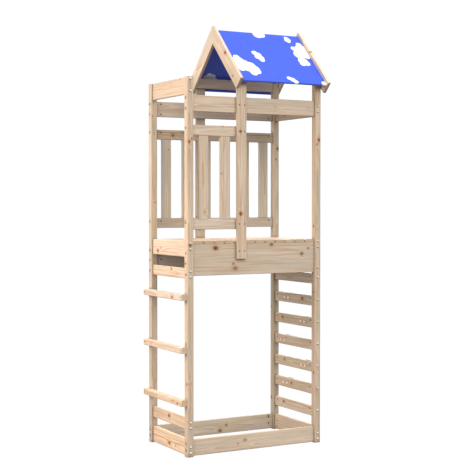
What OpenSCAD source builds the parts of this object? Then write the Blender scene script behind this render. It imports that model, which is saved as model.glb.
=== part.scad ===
// Wooden climbing tower for a garden: four square posts joined by boards, a ladder on the left,
// a climbing wall with stones on the right, a planked deck with slatted railings,
// and a small gabled roof with a cloth cover over the right part of the deck.
// Seen from the front, X runs to the right, Y to the back and Z up.

/* [Frame] */
// Width over the outer faces of the posts
frame_w = 893; // [860:1:960]
// Depth over the outer faces of the posts
frame_d = 525; // [490:1:600]
// Side of the square posts
post_s = 40; // [36:1:44]
// Height of the two posts on the ladder side
ladder_post_h = 2155; // [2130:1:2220]
// Thickness of every board
board_t = 18; // [16:1:20]
// Easing of the boards' long edges
board_ease = 2; // [1:0.5:3]
// Easing of the posts' and rungs' long edges
post_ease = 3; // [2:0.5:5]

/* [Boards] */
// Height of the narrow boards: panel rails, climbing boards, lower deck rails
narrow_h = 60; // [54:1:66]
// Height of the top rails at the front, back and right
top_rail_h = 92; // [80:1:100]
// Height of the top rail over the ladder
ladder_rail_h = 98; // [85:1:110]
// Drop from the ladder posts' tops to the underside of the other top rails
top_rail_drop = 195; // [180:1:215]
// Height of the base boards at the front and back
long_base_h = 93; // [80:1:100]
// Height of the base boards at the sides
side_base_h = 95; // [85:1:105]
// Gap between the ground and the base boards
base_lift = 5; // [3:1:10]
// Height of the second base rail under the ladder
ladder_base_h = 65; // [58:1:70]
// Gap between a side base board and the board above it
base_gap = 54; // [45:1:62]

/* [Deck] */
// Height of the deck's walking surface
deck_top = 1226; // [1190:1:1260]
// Height of the wide boards that carry the planks
deck_board_h = 180; // [178:1:195]
// Thickness of the planks
plank_t = 18; // [16:1:22]
// Number of planks
plank_count = 12; // [11:1:13]
// Gap between planks
plank_gap = 6; // [4:1:8]
// Easing of the planks' long edges
plank_ease = 3; // [1:0.5:4]
// Height of the upper deck rails at the sides
deck_rail_h = 90; // [80:1:96]
// Gap between the two deck rails over the ladder
ladder_rail_gap = 64; // [58:1:66]
// Gap between the two deck rails over the climbing wall
wall_rail_gap = 49; // [45:1:55]

/* [Ladder] */
// Number of rungs
rung_count = 3; // [2:1:3]
// Step from rung to rung, counted down from the deck
rung_pitch = 300; // [280:1:310]
// Side of the square rungs
rung_s = 36; // [32:1:40]
// Distance of the rungs' ends from the frame's front and back
rung_inset = 4.5; // [2:0.5:8]

/* [Climbing wall] */
// Number of climbing boards
climb_count = 7; // [6:1:7]
// Gap between the top climbing board and the deck rail over it
climb_top_gap = 11; // [8:1:16]
// Width of a climbing stone along its board
stone_w = 104; // [96:1:112]
// Height of a climbing stone
stone_h = 62; // [56:1:66]
// Depth of a climbing stone
stone_d = 45; // [40:1:52]
// Distance between the two bolts of a stone
stone_bolt_gap = 44; // [40:1:48]

/* [Railings] */
// Gap between the deck and the panels' lower rails
panel_lift = 65; // [55:1:75]
// Gap between the panels' upper rails and the top rails
panel_top_gap = 76; // [65:1:90]
// Width of the slats
slat_w = 61; // [52:1:64]
// Number of slats in the back panel
back_slat_count = 6; // [5:1:6]
// Number of slats in the front panel
front_slat_count = 2; // [1:1:2]
// Place of the roof uprights' left edge, from the frame's left face
upright_x = 317; // [300:1:340]
// Width of the roof uprights
upright_w = 62; // [56:1:68]
// How far the uprights reach down below the deck's surface
upright_lap = 106; // [95:1:130]

/* [Roof] */
// Slope of the roof in degrees
roof_slope = 45; // [43:0.5:47]
// Width of the rafters
rafter_w = 78; // [74:1:84]
// How far the rafters' inner corner reaches past the posts
rafter_reach = 25; // [15:1:35]
// Gap between the eave beams' top edges and the cover over them
cover_clear = 10.5; // [8:0.5:14]
// Flat nip at the top of the gables
ridge_nip = 4; // [2:0.5:6]
// Gap between the top rails and the eave beams
eave_lift = 94; // [80:1:105]
// Width of the ridge beam
ridge_w = 38; // [34:1:42]
// Height of the ridge beam
ridge_h = 50; // [46:1:56]
// How deep the cover lies below the rafters' outer edges
cover_inset = 18; // [15:1:21]
// Thickness of the cloth cover
cover_t = 2; // [1.5:0.5:3]
// Diameter of the rods in the cover's hems
rod_d = 8; // [6:0.5:9]

/* [Fasteners] */
// Diameter of the frame bolts
bolt_d = 6; // [5:0.5:7]
// Diameter of the frame bolts' round heads
bolt_head_d = 15; // [13:0.5:17]
// Height of the frame bolts' heads
bolt_head_h = 4; // [3:0.5:5]
// Diameter of the barrel nuts
nut_d = 10; // [9.5:0.5:11]
// Length of the barrel nuts
nut_l = 13; // [11:0.5:13]
// Distance from a board's end to its barrel nut
nut_inset = 30; // [26:1:34]
// Diameter of the wood screws
screw_d = 4; // [3.5:0.5:4.5]
// Diameter of the wood screws' countersunk heads
screw_head_d = 8; // [7.5:0.5:9]
// Length of the screws that hold the uprights
board_screw_l = 30; // [27:1:31]
// Length of the screws that hold the planks
plank_screw_l = 44; // [40:1:48]
// Length of the screws that hold the rungs
rung_screw_l = 64; // [58:1:68]
// Length of the screws that hold the roof frame
roof_screw_l = 45; // [40:1:52]
// Diameter of the slats' dowels
dowel_d = 8; // [6:1:9]
// Length of the slats' dowels
dowel_l = 40; // [34:1:50]
// Diameter of the stones' bolts
stone_bolt_d = 8; // [7:0.5:9]

/* [Hidden] */
$fn = 24;
// Free space around bolts, nuts, screws and rods in their holes
bore_gap = 0.2;
// Overrun of the cuts past a face
over = 1;
// Timber left between two bolts that cross inside a post
cross_gap = 3;

// Bolt places up each kind of board, as shares of its height
ladder_rail_bolt_shares = [0.17, 0.87];
top_rail_bolt_shares = [0.17, 0.83];
wall_rail_bolt_shares = [0.3, 0.67];
deck_rail_bolt_shares = [0.5, 0.87];
ladder_low_rail_bolt_shares = [0.19, 0.71];
wall_low_rail_bolt_shares = [0.5];
climb_bolt_shares = [0.7];
ladder_base_bolt_shares = [0.2, 0.66];
side_base_bolt_shares = [0.2, 0.56];
long_base_bolt_shares = [0.38, 0.78];
deck_board_bolt_shares = [0.05, 0.405, 0.73];
panel_bolt_shares = [0.7];
eave_bolt_shares = [0.6];
// Screw places across the uprights and dowel places across the slats, as shares of their width
upright_screw_shares = [0.25, 0.78];
dowel_shares = [0.25, 0.75];
// Places of the stones along the wall, from the front, counted up from the second climbing board
stone_y_shares = [0.67, 0.275, 0.73, 0.29, 0.65];
// Share of a bolt head's radius and height where its rounded top starts
head_top_share = 0.55;
head_side_share = 0.4;
// Shares that shape the stones, their bolts' heads and nuts
stone_round_share = 0.33;
stone_rim_share = 0.2;
stone_head_share = 1.6;
stone_nut_share = 0.8;
// Places of the roof screws, as shares of the beam heights and of the timber that the rafters cross
eave_upright_share = 0.2;
eave_end_share = 0.55;
ridge_screw_share = 0.7;
upright_edge_share = 0.2;
post_edge_share = 0.32;

// Lines that the boards share
recess = (post_s - board_t) / 2;
run_x = frame_w - 2 * post_s;
run_y = frame_d - 2 * post_s;
left_x = recess;
right_x = frame_w - recess - board_t;
front_y = recess;
back_y = frame_d - recess - board_t;
mid_y = frame_d / 2;
bolt_cross = bolt_d + 2 * bore_gap + cross_gap;

// Heights of the boards
deck_board_z = deck_top - plank_t - deck_board_h;
deck_rail_z = deck_top - deck_rail_h;
ladder_low_rail_z = deck_rail_z - ladder_rail_gap - narrow_h;
wall_low_rail_z = deck_rail_z - wall_rail_gap - narrow_h;
ladder_rail_z = ladder_post_h - ladder_rail_h;
top_rail_z = ladder_post_h - top_rail_drop;
second_board_z = base_lift + side_base_h + base_gap;
climb_pitch = (wall_low_rail_z - climb_top_gap - narrow_h - second_board_z) / (climb_count - 1);
panel_low_z = deck_top + panel_lift;
panel_high_z = top_rail_z - panel_top_gap - narrow_h;
slat_z = panel_low_z + narrow_h;
slat_l = panel_high_z - slat_z;
eave_z = top_rail_z + top_rail_h + eave_lift;
plank_pitch = run_x / plank_count;
plank_w = plank_pitch - plank_gap;

// Roof lines in the plane of a gable: the front half, seen from the left
roof_z = eave_z + narrow_h + cover_clear - front_y * tan(roof_slope)
    - (rafter_w - cover_inset - cover_t) / cos(roof_slope);
inner_apex_z = roof_z + mid_y * tan(roof_slope);
outer_apex_z = inner_apex_z + rafter_w / cos(roof_slope);
gable_top_z = outer_apex_z - ridge_nip;
slope_dir = [cos(roof_slope), sin(roof_slope)];
slope_normal = [-sin(roof_slope), cos(roof_slope)];
rafter_tip = [-rafter_reach, roof_z - rafter_reach * tan(roof_slope)];
left_gable_x = upright_x - board_t;
right_gable_x = frame_w;

// Cover and hem rods
hem_bore_r = rod_d / 2 + bore_gap;
hem_r = hem_bore_r + cover_t;
hem_setback = hem_r + cover_t;
hem_centre = rafter_tip + slope_normal * (rafter_w - cover_inset - hem_r) + slope_dir * hem_setback;
cover_ridge_z = outer_apex_z - cover_inset / cos(roof_slope);
cover_under_z = cover_ridge_z - cover_t / cos(roof_slope);
// Free space between the cover and the timber under it
cover_gap = 0.3;
// Angle through which the cloth turns round a hem rod
hem_turn = 200;
post_top_gap = 6.5;
rod_grip = board_t / 2;
ridge_top_z = cover_under_z - cover_gap / cos(roof_slope);
roof_post_h = cover_under_z - mid_y * tan(roof_slope) - post_top_gap;
upright_top_z = roof_post_h - (board_t - recess) * tan(roof_slope);
upright_z = deck_top - upright_lap;
eave_l = frame_w - post_s - upright_x;
panel_front_l = upright_x + upright_w - post_s;

// Climbing stones
stone_face_x = frame_w - recess;
stone_round_r = min(stone_h * stone_round_share, stone_d / 2);
stone_rim = stone_d * stone_rim_share;
stone_seat = stone_d / 2;
stone_head_d = stone_bolt_d * stone_head_share;
stone_nut_l = stone_bolt_d * stone_nut_share;

// The part stands centred on its own box
mid_x = (stone_face_x + stone_d - rung_s) / 2;

function side_name(i) = str("climbing_board_", i);

// Moves the frame's own corner system to the part's origin
module placed() {
    translate([-mid_x, -mid_y, 0])
        children();
}

module timber() {
    color("burlywood")
        placed()
            children();
}

module steel() {
    color("silver")
        placed()
            children();
}

// Bar outlines with eased corners, and bars along each axis
module eased(w, h, ease) {
    polygon([
        [ease, 0], [w - ease, 0], [w, ease], [w, h - ease],
        [w - ease, h], [ease, h], [0, h - ease], [0, ease]
    ]);
}

module bar_x(at, l, w, h, ease) {
    translate(at)
        rotate([90, 0, 90])
            linear_extrude(l)
                eased(w, h, ease);
}

module bar_y(at, l, w, h, ease) {
    translate(at + [0, l, 0])
        rotate([90, 0, 0])
            linear_extrude(l)
                eased(w, h, ease);
}

module bar_z(at, l, w, d, ease) {
    translate(at)
        linear_extrude(l)
            eased(w, d, ease);
}

// Turns +Z to a direction along one of the axes
function turn(d) = d[0] != 0 ? [0, 90 * d[0], 0] : d[1] != 0 ? [-90 * d[1], 0, 0] : [90 - 90 * d[2], 0, 0];

// A bolt is [seat under its head, drive direction, open side of its nut's hole, length up to the board's end]
function bolts_y(x, z, h, shares, open) = [
    for (s = shares, far = [0, 1])
        [[x, far * frame_d, z + h * s], [0, 1 - 2 * far, 0], [open, 0, 0], post_s]
];

// Moves a height away from the heights of the bolts that cross it inside a post
function cleared(z, taken, i = 0) = i == len(taken) ? z : cleared(
    abs(z - taken[i]) >= bolt_cross ? z : z < taken[i] ? taken[i] - bolt_cross : taken[i] + bolt_cross,
    taken, i + 1
);

function bolts_x(y, z, h, shares, open, ends) = [
    for (s = shares, far = ends)
        [[far * frame_w, y, cleared(z + h * s, side_bolt_zs)], [1 - 2 * far, 0, 0], [0, open, 0], post_s]
];

// The eave beams' bolts pass the rafter as well as the post
function bolts_eave(y, open) = [
    for (s = eave_bolt_shares)
        [[frame_w + board_t, y, eave_z + narrow_h * s], [-1, 0, 0], [0, open, 0], post_s + board_t]
];

left_mid = post_s / 2;
right_mid = frame_w - post_s / 2;
front_mid = post_s / 2;
back_mid = frame_d - post_s / 2;

left_top_bolts = bolts_y(left_mid, ladder_rail_z, ladder_rail_h, ladder_rail_bolt_shares, 1);
left_deck_bolts = bolts_y(left_mid, deck_rail_z, deck_rail_h, deck_rail_bolt_shares, 1);
left_low_bolts = bolts_y(left_mid, ladder_low_rail_z, narrow_h, ladder_low_rail_bolt_shares, 1);
left_second_bolts = bolts_y(left_mid, second_board_z, ladder_base_h, ladder_base_bolt_shares, 1);
left_base_bolts = bolts_y(left_mid, base_lift, side_base_h, side_base_bolt_shares, 1);
right_top_bolts = bolts_y(right_mid, top_rail_z, top_rail_h, wall_rail_bolt_shares, -1);
right_deck_bolts = bolts_y(right_mid, deck_rail_z, deck_rail_h, deck_rail_bolt_shares, -1);
right_low_bolts = bolts_y(right_mid, wall_low_rail_z, narrow_h, wall_low_rail_bolt_shares, -1);
right_base_bolts = bolts_y(right_mid, base_lift, side_base_h, side_base_bolt_shares, -1);
function climb_bolts(i) = bolts_y(right_mid, climb_z(i), narrow_h, climb_bolt_shares, -1);

left_bolts = concat(left_top_bolts, left_deck_bolts, left_low_bolts, left_second_bolts, left_base_bolts);
right_bolts = concat(
    right_top_bolts, right_deck_bolts, right_low_bolts, right_base_bolts,
    [for (i = [1:climb_count], b = climb_bolts(i)) b]
);
side_bolt_zs = [for (b = concat(left_bolts, right_bolts)) b[0][2]];

front_top_bolts = bolts_x(front_mid, top_rail_z, top_rail_h, top_rail_bolt_shares, 1, [0, 1]);
front_high_bolts = bolts_x(front_mid, panel_high_z, narrow_h, panel_bolt_shares, 1, [0]);
front_low_bolts = bolts_x(front_mid, panel_low_z, narrow_h, panel_bolt_shares, 1, [0]);
front_deck_bolts = bolts_x(front_mid, deck_board_z, deck_board_h, deck_board_bolt_shares, 1, [0, 1]);
front_base_bolts = bolts_x(front_mid, base_lift, long_base_h, long_base_bolt_shares, 1, [0, 1]);
back_top_bolts = bolts_x(back_mid, top_rail_z, top_rail_h, top_rail_bolt_shares, -1, [0, 1]);
back_high_bolts = bolts_x(back_mid, panel_high_z, narrow_h, panel_bolt_shares, -1, [0, 1]);
back_low_bolts = bolts_x(back_mid, panel_low_z, narrow_h, panel_bolt_shares, -1, [0, 1]);
back_deck_bolts = bolts_x(back_mid, deck_board_z, deck_board_h, deck_board_bolt_shares, -1, [0, 1]);
back_base_bolts = bolts_x(back_mid, base_lift, long_base_h, long_base_bolt_shares, -1, [0, 1]);
front_eave_bolts = bolts_eave(front_mid, 1);
back_eave_bolts = bolts_eave(back_mid, -1);

front_bolts = concat(
    front_top_bolts, front_high_bolts, front_low_bolts, front_deck_bolts, front_base_bolts, front_eave_bolts
);
back_bolts = concat(
    back_top_bolts, back_high_bolts, back_low_bolts, back_deck_bolts, back_base_bolts, back_eave_bolts
);
all_bolts = concat(left_bolts, right_bolts, front_bolts, back_bolts);

module bolt(b) {
    r = bolt_head_d / 2;
    l = b[3] + nut_inset + nut_d / 2;
    translate(b[0])
        rotate(turn(b[1]))
            rotate_extrude()
                polygon([
                    [0, -bolt_head_h], [r * head_top_share, -bolt_head_h],
                    [r, -bolt_head_h * head_side_share], [r, 0],
                    [bolt_d / 2, 0], [bolt_d / 2, l], [0, l]
                ]);
}

module barrel_nut(b) {
    difference() {
        translate(b[0] + b[1] * (b[3] + nut_inset) - b[2] * nut_l / 2)
            rotate(turn(b[2]))
                cylinder(d = nut_d, h = nut_l);
        bolt_bore(b);
    }
}

// Hole for a bolt's shank, from outside its seat to past its end
module bolt_bore(b) {
    translate(b[0] - b[1] * over)
        rotate(turn(b[1]))
            cylinder(d = bolt_d + 2 * bore_gap, h = over + b[3] + nut_inset + nut_d / 2 + bore_gap);
}

// Cross hole for a barrel nut, open at the board's inner face
module nut_bore(b) {
    translate(b[0] + b[1] * (b[3] + nut_inset) - b[2] * (nut_l / 2 + bore_gap))
        rotate(turn(b[2]))
            cylinder(d = nut_d + 2 * bore_gap, h = nut_l / 2 + bore_gap + board_t / 2 + over);
}

// Cuts the holes of the given bolts from a board
module bolted(bolts) {
    difference() {
        children();
        for (b = bolts) {
            bolt_bore(b);
            nut_bore(b);
        }
    }
}

// A screw is [centre of its head's top, drive direction, length]
rung_screws = [
    for (i = [1:rung_count], y = [front_mid, back_mid])
        [[-rung_s, y, rung_z(i) + rung_s / 2], [1, 0, 0], rung_screw_l]
];

plank_screws = [
    for (i = [1:plank_count], y = [front_mid, back_mid])
        [[plank_x(i) + plank_w / 2, y, deck_top], [0, 0, -1], plank_screw_l]
];

// Heights of the boards that an upright crosses
upright_levels = [
    (upright_z + deck_top - plank_t) / 2,
    panel_low_z + narrow_h / 2,
    panel_high_z + narrow_h / 2,
    top_rail_z + top_rail_h / 2,
    eave_z + narrow_h * eave_upright_share
];

function upright_screws(far) = [
    for (z = upright_levels, s = upright_screw_shares)
        [
            [upright_x + upright_w * s, far == 0 ? recess - board_t : frame_d - recess + board_t, z],
            [0, 1 - 2 * far, 0],
            board_screw_l
        ]
];

// Roof screws: left rafters into upright and eave beam, right rafters into post, all into the ridge beam
upright_edge_z = roof_z + (upright_top_z - roof_z) * upright_edge_share;
post_edge_z = roof_z + (roof_post_h - roof_z) * post_edge_share;
beam_screw_z = eave_z + narrow_h * eave_end_share;
ridge_screw_z = ridge_top_z - ridge_h * ridge_screw_share;

function roof_y(y, far) = far == 0 ? y : frame_d - y;

function left_rafter_screws(far) = [
    [[left_gable_x, roof_y(recess - board_t / 2, far), upright_edge_z], [1, 0, 0], roof_screw_l],
    [[left_gable_x, roof_y(front_mid, far), beam_screw_z], [1, 0, 0], roof_screw_l],
    [[left_gable_x, roof_y(mid_y - ridge_w / 4, far), ridge_screw_z], [1, 0, 0], roof_screw_l]
];

function right_rafter_screws(far) = [
    [[right_gable_x + board_t, roof_y(recess, far), post_edge_z], [-1, 0, 0], roof_screw_l],
    [[right_gable_x + board_t, roof_y(mid_y - ridge_w / 4, far), ridge_screw_z], [-1, 0, 0], roof_screw_l]
];

roof_screws = [
    for (far = [0, 1], s = concat(left_rafter_screws(far), right_rafter_screws(far))) s
];
all_screws = concat(rung_screws, plank_screws, upright_screws(0), upright_screws(1), roof_screws);

// Screw body, grown by a gap for its hole
module screw_shape(s, gap) {
    head_r = screw_head_d / 2 + gap;
    shank_r = screw_d / 2 + gap;
    sink = head_r - shank_r;
    translate(s[0])
        rotate(turn(s[1]))
            rotate_extrude()
                polygon([
                    [0, -gap], [head_r, -gap], [head_r, 0], [shank_r, sink],
                    [shank_r, s[2] - screw_d + gap], [0, s[2] + gap]
                ]);
}

module screw(s) {
    head_r = screw_head_d / 2;
    shank_r = screw_d / 2;
    translate(s[0])
        rotate(turn(s[1]))
            rotate_extrude()
                polygon([
                    [0, 0], [head_r, 0], [shank_r, head_r - shank_r],
                    [shank_r, s[2] - screw_d], [0, s[2]]
                ]);
}

module screwed(screws) {
    difference() {
        children();
        for (s = screws)
            screw_shape(s, bore_gap);
    }
}

// Posts: each is drilled for the bolts whose heads sit on it
function on_post(b, x, y) = abs(b[0][0] - x) < 2 * post_s && abs(b[0][1] - y) < 2 * post_s;

module post(at, h, screws) {
    centre = at + [post_s / 2, post_s / 2];
    timber()
        difference() {
            bar_z([at[0], at[1], 0], h, post_s, post_s, post_ease);
            for (b = all_bolts)
                if (on_post(b, centre[0], centre[1]))
                    bolt_bore(b);
            for (s = screws)
                screw_shape(s, bore_gap);
        }
}

module post_front_left() post([0, 0], ladder_post_h, rung_screws_at(front_mid));
module post_back_left() post([0, frame_d - post_s], ladder_post_h, rung_screws_at(back_mid));
module post_front_right() post([frame_w - post_s, 0], roof_post_h, [right_rafter_screws(0)[0]]);
module post_back_right() post([frame_w - post_s, frame_d - post_s], roof_post_h, [right_rafter_screws(1)[0]]);

function rung_screws_at(y) = [for (s = rung_screws) if (s[0][1] == y) s];

// Boards that run front to back between two posts
module side_board(x, z, h, bolts) {
    timber()
        bolted(bolts)
            bar_y([x, post_s, z], run_y, board_t, h, board_ease);
}

module left_top_rail() side_board(left_x, ladder_rail_z, ladder_rail_h, left_top_bolts);
module left_deck_rail_upper() side_board(left_x, deck_rail_z, deck_rail_h, left_deck_bolts);
module left_deck_rail_lower() side_board(left_x, ladder_low_rail_z, narrow_h, left_low_bolts);
module left_base_rail_upper() side_board(left_x, second_board_z, ladder_base_h, left_second_bolts);
module left_base_rail_lower() side_board(left_x, base_lift, side_base_h, left_base_bolts);
module right_top_rail() side_board(right_x, top_rail_z, top_rail_h, right_top_bolts);
module right_deck_rail_upper() side_board(right_x, deck_rail_z, deck_rail_h, right_deck_bolts);
module right_deck_rail_lower() side_board(right_x, wall_low_rail_z, narrow_h, right_low_bolts);
module right_base_board() side_board(right_x, base_lift, side_base_h, right_base_bolts);

// Ladder rungs across the outer faces of the left posts, counted up from the ground
rung_l = frame_d - 2 * rung_inset;
function rung_z(i) = deck_top - (rung_count + 1 - i) * rung_pitch - rung_s;

module ladder_rung(i) {
    timber()
        screwed([for (s = rung_screws) if (s[0][2] == rung_z(i) + rung_s / 2) s])
            bar_y([-rung_s, mid_y - rung_l / 2, rung_z(i)], rung_l, rung_s, rung_s, post_ease);
}

// Climbing boards, counted up from the ground, with holes for the stones' bolts
function climb_z(i) = second_board_z + (i - 1) * climb_pitch;

module climbing_board(i) {
    timber()
        difference() {
            bolted(climb_bolts(i))
                bar_y([right_x, post_s, climb_z(i)], run_y, board_t, narrow_h, board_ease);
            for (k = [0:len(stone_y_shares) - 1])
                if (stone_board(k) == i)
                    stone_bores(k);
        }
}

// Climbing stones: a flat back on the board and a rounded face, held by two bolts
function stone_board(k) = k + 2;
function stone_place(k) = [stone_face_x, frame_d * stone_y_shares[k], climb_z(stone_board(k)) + narrow_h / 2];
function stone_bolt_places(k) = [for (e = [-1, 1]) stone_place(k) + [0, e * stone_bolt_gap / 2, 0]];

module stone_bores(k) {
    for (p = stone_bolt_places(k))
        translate(p - [board_t + over, 0, 0])
            rotate([0, 90, 0])
                cylinder(d = stone_bolt_d + 2 * bore_gap, h = board_t + over + stone_seat + over);
}

module stone(k) {
    half_w = stone_w / 2 - stone_round_r;
    half_h = stone_h / 2 - stone_round_r;
    difference() {
        translate(stone_place(k))
            hull() {
                for (e = [-1, 1], f = [-1, 1])
                    translate([0, e * half_w, f * half_h])
                        rotate([0, 90, 0])
                            cylinder(r = stone_round_r, h = stone_rim);
                translate([stone_d - stone_round_r, -half_w / 2, 0])
                    sphere(r = stone_round_r);
                translate([stone_round_r, half_w / 2, half_h / 2])
                    sphere(r = stone_round_r);
            }
        stone_bores(k);
        for (p = stone_bolt_places(k))
            translate(p + [stone_seat, 0, 0])
                rotate([0, 90, 0])
                    cylinder(d = stone_head_d + 4 * bore_gap, h = stone_d);
    }
}

module climbing_stones() {
    color("darkslateblue")
        placed()
            for (k = [0:len(stone_y_shares) - 1])
                stone(k);
}

module stone_bolts() {
    l = stone_seat + board_t + stone_nut_l;
    steel()
        for (k = [0:len(stone_y_shares) - 1], p = stone_bolt_places(k))
            translate(p + [stone_seat, 0, 0])
                rotate([0, -90, 0])
                    rotate_extrude()
                        polygon([
                            [0, -stone_bolt_d / 2], [stone_head_d / 2, -stone_bolt_d / 2],
                            [stone_head_d / 2, 0], [stone_bolt_d / 2, 0],
                            [stone_bolt_d / 2, l], [0, l]
                        ]);
}

module stone_nuts() {
    steel()
        for (k = [0:len(stone_y_shares) - 1], p = stone_bolt_places(k))
            translate(p - [board_t, 0, 0])
                rotate([0, -90, 0])
                    difference() {
                        cylinder(d = 2 * stone_bolt_d, h = stone_nut_l, $fn = 6);
                        translate([0, 0, -over])
                            cylinder(d = stone_bolt_d + 2 * bore_gap, h = stone_nut_l + 2 * over);
                    }
}

// Boards that run left to right
module long_board(y, z, l, h, bolts, screws) {
    timber()
        screwed(screws)
            bolted(bolts)
                bar_x([post_s, y, z], l, board_t, h, board_ease);
}

// The screws that reach a board: those of the upright at its level
function level_screws(far, i) = [for (s = upright_screws(far)) if (s[0][2] == upright_levels[i]) s];
function plank_screws_at(y) = [for (s = plank_screws) if (s[0][1] == y) s];

module top_rail(far, y, bolts) long_board(y, top_rail_z, run_x, top_rail_h, bolts, level_screws(far, 3));
module front_top_rail() top_rail(0, front_y, front_top_bolts);
module back_top_rail() top_rail(1, back_y, back_top_bolts);
module front_base_board() long_board(front_y, base_lift, run_x, long_base_h, front_base_bolts, []);
module back_base_board() long_board(back_y, base_lift, run_x, long_base_h, back_base_bolts, []);

module deck_board(far, y, bolts, screw_y) {
    screws = concat(level_screws(far, 0), plank_screws_at(screw_y));
    long_board(y, deck_board_z, run_x, deck_board_h, bolts, screws);
}

module front_deck_board() deck_board(0, front_y, front_deck_bolts, front_mid);
module back_deck_board() deck_board(1, back_y, back_deck_bolts, back_mid);

// Planks that run front to back on the deck boards
function plank_x(i) = post_s + (i - 1) * plank_pitch + plank_gap / 2;

module deck_planks() {
    l = back_y + board_t - front_y;
    timber()
        for (i = [1:plank_count])
            screwed([for (s = plank_screws) if (s[0][0] == plank_x(i) + plank_w / 2) s])
                bar_y([plank_x(i), front_y, deck_top - plank_t], l, plank_w, plank_t, plank_ease);
}

// Railing panels: two rails with slats dowelled between them
front_slat_pitch = (upright_x - post_s) / front_slat_count;
back_slat_pitch = run_x / back_slat_count;
function slat_x(i, pitch) = post_s + (i - 0.5) * pitch - slat_w / 2;

module dowels(x, y) {
    for (s = dowel_shares, z = [slat_z, slat_z + slat_l])
        translate([x + slat_w * s, y + board_t / 2, z - dowel_l / 2])
            cylinder(d = dowel_d, h = dowel_l);
}

module dowel_bores(x, y) {
    for (s = dowel_shares, z = [slat_z, slat_z + slat_l])
        translate([x + slat_w * s, y + board_t / 2, z - dowel_l / 2 - bore_gap])
            cylinder(d = dowel_d + 2 * bore_gap, h = dowel_l + 2 * bore_gap);
}

module slat(x, y) {
    timber()
        difference() {
            bar_z([x, y, slat_z], slat_l, slat_w, board_t, board_ease);
            dowel_bores(x, y);
        }
}

module panel_rail(y, z, l, bolts, screws, count, pitch) {
    timber()
        difference() {
            screwed(screws)
                bolted(bolts)
                    bar_x([post_s, y, z], l, board_t, narrow_h, board_ease);
            for (i = [1:count])
                dowel_bores(slat_x(i, pitch), y);
        }
}

module front_panel_rail(z, bolts, level) {
    panel_rail(front_y, z, panel_front_l, bolts, level_screws(0, level), front_slat_count, front_slat_pitch);
}

module back_panel_rail(z, bolts, level) {
    panel_rail(back_y, z, run_x, bolts, level_screws(1, level), back_slat_count, back_slat_pitch);
}

module front_panel_rail_upper() front_panel_rail(panel_high_z, front_high_bolts, 2);
module front_panel_rail_lower() front_panel_rail(panel_low_z, front_low_bolts, 1);
module back_panel_rail_upper() back_panel_rail(panel_high_z, back_high_bolts, 2);
module back_panel_rail_lower() back_panel_rail(panel_low_z, back_low_bolts, 1);
module front_slat(i) slat(slat_x(i, front_slat_pitch), front_y);
module back_slat(i) slat(slat_x(i, back_slat_pitch), back_y);

module slat_dowels() {
    color("tan")
        placed() {
            for (i = [1:front_slat_count])
                dowels(slat_x(i, front_slat_pitch), front_y);
            for (i = [1:back_slat_count])
                dowels(slat_x(i, back_slat_pitch), back_y);
        }
}

// Roof uprights on the outer faces of the front and back boards
module upright(y, far) {
    timber()
        screwed(concat(upright_screws(far), [left_rafter_screws(far)[0]]))
            bar_z([upright_x, y, upright_z], upright_top_z - upright_z, upright_w, board_t, board_ease);
}

module roof_upright_front() upright(recess - board_t, 0);
module roof_upright_back() upright(frame_d - recess, 1);

// Rafters: two boards with a plumb cut at the ridge and a square cut at the eave
module rafter_outline() {
    end_top = rafter_tip + slope_normal * rafter_w;
    polygon([
        rafter_tip,
        [mid_y, inner_apex_z],
        [mid_y, gable_top_z],
        [mid_y - ridge_nip / tan(roof_slope), gable_top_z],
        end_top
    ]);
}

// Draws the front half of the roof, or its mirror image at the back
module roof_side(far) {
    if (far == 0)
        children();
    else
        translate([0, frame_d, 0])
            mirror([0, 1, 0])
                children();
}

module rafter(x, far, screws, bolts) {
    timber()
        difference() {
            roof_side(far)
                translate([x, 0, 0])
                    rotate([90, 0, 90])
                        linear_extrude(board_t)
                            rafter_outline();
            for (s = screws)
                screw_shape(s, bore_gap);
            for (b = bolts)
                bolt_bore(b);
            hem_rod(far, bore_gap);
        }
}

module rafter_left_front() rafter(left_gable_x, 0, left_rafter_screws(0), []);
module rafter_left_back() rafter(left_gable_x, 1, left_rafter_screws(1), []);
module rafter_right_front() rafter(right_gable_x, 0, right_rafter_screws(0), front_eave_bolts);
module rafter_right_back() rafter(right_gable_x, 1, right_rafter_screws(1), back_eave_bolts);

// Ridge beam with its top bevelled to the slope of the cover
module ridge_beam() {
    half = ridge_w / 2;
    shoulder_z = ridge_top_z - half * tan(roof_slope);
    timber()
        screwed(roof_screws)
            translate([upright_x, 0, 0])
                rotate([90, 0, 90])
                    linear_extrude(frame_w - upright_x)
                        polygon([
                            [mid_y, ridge_top_z],
                            [mid_y - half, shoulder_z], [mid_y - half, ridge_top_z - ridge_h],
                            [mid_y + half, ridge_top_z - ridge_h], [mid_y + half, shoulder_z]
                        ]);
}

// Eave beams between the left rafters and the right posts
module eave_beam(y, far, bolts) {
    timber()
        screwed(concat(level_screws(far, 4), [left_rafter_screws(far)[1]]))
            bolted(bolts)
                bar_x([upright_x, y, eave_z], eave_l, board_t, narrow_h, board_ease);
}

module eave_beam_front() eave_beam(front_y, 0, front_eave_bolts);
module eave_beam_back() eave_beam(back_y, 1, back_eave_bolts);

// Hem rods: their ends sit in blind holes in the rafters
module hem_rod(far, gap) {
    x = upright_x - rod_grip - gap;
    l = frame_w - upright_x + 2 * (rod_grip + gap);
    roof_side(far)
        translate([x, hem_centre[0], hem_centre[1]])
            rotate([0, 90, 0])
                cylinder(d = rod_d + 2 * gap, h = l);
}

module hem_rods() {
    steel()
        for (far = [0, 1])
            hem_rod(far, 0);
}

// Cloth cover: one sheet over the ridge beam, turned round the rod and sewn back on itself at each eave
function hem_point(r, a, run) = hem_centre
    + slope_dir * (-r * sin(a) - run * cos(a))
    + slope_normal * (r * cos(a) - run * sin(a));
function flipped(p) = [frame_d - p[0], p[1]];
function backwards(list) = [for (i = [len(list) - 1:-1:0]) list[i]];

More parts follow.
